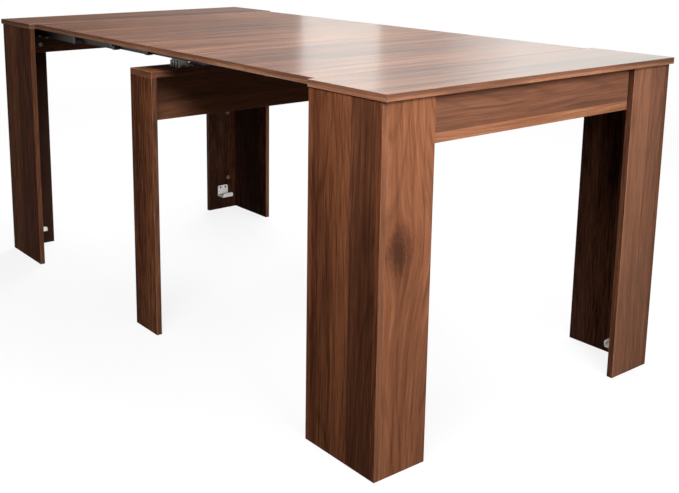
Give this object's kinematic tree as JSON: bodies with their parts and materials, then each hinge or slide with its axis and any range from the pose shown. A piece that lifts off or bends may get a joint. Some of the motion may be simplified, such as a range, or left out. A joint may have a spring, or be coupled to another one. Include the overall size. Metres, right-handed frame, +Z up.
{
  "type": "extending console table",
  "caption": "Console table with L-shaped board legs that pulls out on interlocking telescopic slides over a middle frame; loose leaves fill the gap and store on hooks inside.",
  "frame": {"origin": "on the floor, under the middle of the top when fully extended", "axes": "+X along the table towards the near end frame, +Y across its width, +Z up"},
  "size_m": [1.8, 0.9, 0.76],
  "materials": {
    "walnut_board": "walnut-print melamine board, satin, edge banded",
    "walnut_leaf": "walnut-print melamine board, satin, edge banded, grain across the table",
    "anodised_bar": "dark anodised extrusion",
    "grey_plastic": "grey moulded plastic",
    "grey_metal": "grey painted steel",
    "white_plastic": "white moulded plastic",
    "zinc_steel": "zinc-plated steel",
    "black_steel": "black coated steel screw",
    "cover_plastic": "brown plastic cover",
    "pale_plastic": "pale grey plastic screw cover",
    "beech": "plain beech dowel"
  },
  "bodies": {
    "near_frame": {"near_top": "walnut_board", "near_side_right": "walnut_board", "near_side_left": "walnut_board", "near_end_right": "walnut_board", "near_end_left": "walnut_board", "near_apron": "walnut_board", "near_leaf_hooks": "white_plastic", "near_hook_screws": "black_steel", "near_cams": "cover_plastic", "near_cam_bolts": "zinc_steel", "near_apron_screws": "pale_plastic", "near_dowels": "beech", "near_bar_screws": "zinc_steel", "bar7_right": "anodised_bar", "bar7_left": "anodised_bar", "bar7_blocks": "grey_plastic"},
    "far_frame": {"far_top": "walnut_board", "far_side_right": "walnut_board", "far_side_left": "walnut_board", "far_end_right": "walnut_board", "far_end_left": "walnut_board", "far_apron": "walnut_board", "far_leaf_hooks": "white_plastic", "far_hook_screws": "black_steel", "far_cams": "cover_plastic", "far_cam_bolts": "zinc_steel", "far_apron_screws": "pale_plastic", "far_dowels": "beech", "far_bar_screws": "zinc_steel", "bar1_right": "anodised_bar", "bar1_left": "anodised_bar", "bar1_blocks": "grey_plastic"},
    "mid_frame": {"mid_side_right": "walnut_board", "mid_side_left": "walnut_board", "mid_cap": "walnut_board", "mid_beam": "walnut_board", "mid_bracket_right": "grey_metal", "mid_bracket_left": "grey_metal", "mid_dowels": "beech", "mid_plate_screws": "zinc_steel", "mid_riser_screws": "zinc_steel", "bar4_right": "anodised_bar", "bar4_left": "anodised_bar", "bar4_blocks": "grey_plastic"},
    "stage2": {"bar2_right": "anodised_bar", "bar2_left": "anodised_bar", "bar2_blocks": "grey_plastic"},
    "stage3": {"bar3_right": "anodised_bar", "bar3_left": "anodised_bar", "bar3_blocks": "grey_plastic"},
    "stage5": {"bar5_right": "anodised_bar", "bar5_left": "anodised_bar", "bar5_blocks": "grey_plastic"},
    "stage6": {"bar6_right": "anodised_bar", "bar6_left": "anodised_bar", "bar6_blocks": "grey_plastic"},
    "leaf1": {"leaf1": "walnut_leaf"},
    "leaf2": {"leaf2": "walnut_leaf"},
    "leaf3": {"leaf3": "walnut_leaf"}
  },
  "joints": [
    {"name": "far_frame_close", "type": "slide", "parent": "near_frame", "child": "far_frame", "axis": [1, 0, 0], "range_m": [0, 1.3497]},
    {"name": "stage2_run", "type": "slide", "parent": "near_frame", "child": "stage2", "axis": [1, 0, 0], "range_m": [0, 1.1541]},
    {"name": "stage3_run", "type": "slide", "parent": "near_frame", "child": "stage3", "axis": [1, 0, 0], "range_m": [0, 0.9989]},
    {"name": "mid_frame_run", "type": "slide", "parent": "near_frame", "child": "mid_frame", "axis": [1, 0, 0], "range_m": [0, 0.7424]},
    {"name": "stage5_run", "type": "slide", "parent": "near_frame", "child": "stage5", "axis": [1, 0, 0], "range_m": [0, 0.4995]},
    {"name": "stage6_run", "type": "slide", "parent": "near_frame", "child": "stage6", "axis": [1, 0, 0], "range_m": [0, 0.243]},
    {"name": "leaf1_lift", "type": "slide", "parent": "near_frame", "child": "leaf1", "axis": [0, 0, 1], "range_m": [0, 0.3375]},
    {"name": "leaf2_lift", "type": "slide", "parent": "near_frame", "child": "leaf2", "axis": [0, 0, 1], "range_m": [0, 0.3375]},
    {"name": "leaf3_lift", "type": "slide", "parent": "near_frame", "child": "leaf3", "axis": [0, 0, 1], "range_m": [0, 0.3375]}
  ],
  "couplings": [
    {"joint": "stage2_run", "follows": "far_frame_close", "ratio": 0.855},
    {"joint": "stage3_run", "follows": "far_frame_close", "ratio": 0.74},
    {"joint": "mid_frame_run", "follows": "far_frame_close", "ratio": 0.55},
    {"joint": "stage5_run", "follows": "far_frame_close", "ratio": 0.37},
    {"joint": "stage6_run", "follows": "far_frame_close", "ratio": 0.18},
    {"joint": "leaf1_lift", "follows": "far_frame_close", "ratio": 0.25},
    {"joint": "leaf2_lift", "follows": "far_frame_close", "ratio": 0.25},
    {"joint": "leaf3_lift", "follows": "far_frame_close", "ratio": 0.25}
  ]
}
